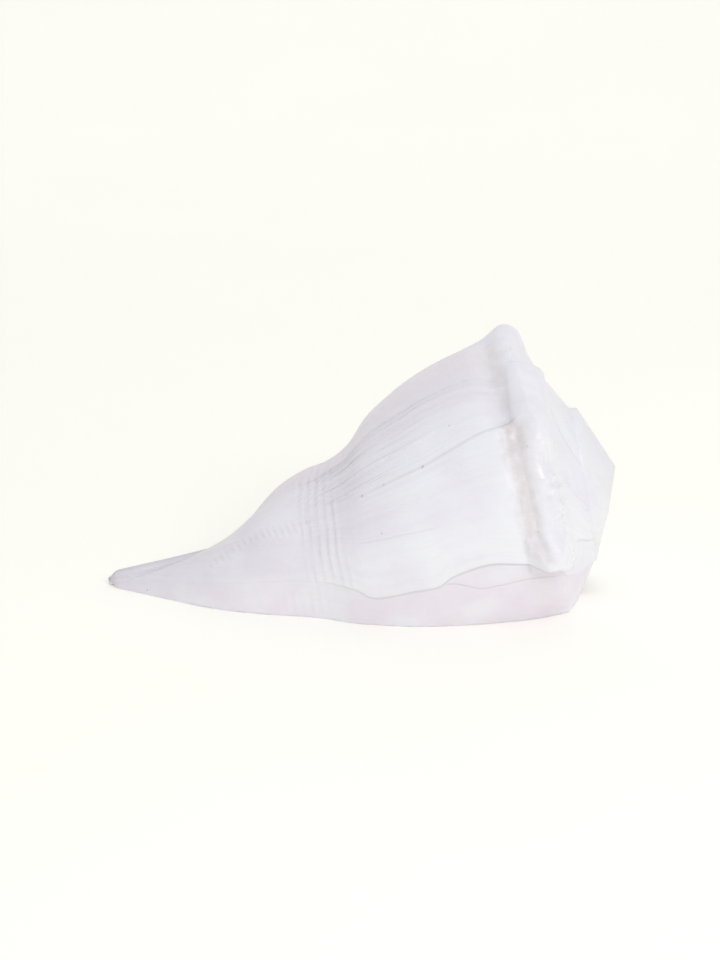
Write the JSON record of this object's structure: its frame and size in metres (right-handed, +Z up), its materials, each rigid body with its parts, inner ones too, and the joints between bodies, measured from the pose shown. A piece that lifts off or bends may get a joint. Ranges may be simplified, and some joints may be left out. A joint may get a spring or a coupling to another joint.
{
  "type": "conch shell",
  "caption": "Left-handed sea snail shell with a knobbed shoulder, low spire, ridged body and long open canal, lying on its mouth.",
  "frame": {"origin": "on the surface the shell lies on, under the middle of its bounding box", "axes": "+X from the canal's tip towards the spire, +Y away from the outer lip, +Z up from the surface"},
  "size_m": [0.1856, 0.1082, 0.0944],
  "materials": {
    "shell": "bleached satin shell with a slight gloss"
  },
  "bodies": {
    "root": {"shell": "shell"}
  },
  "joints": []
}
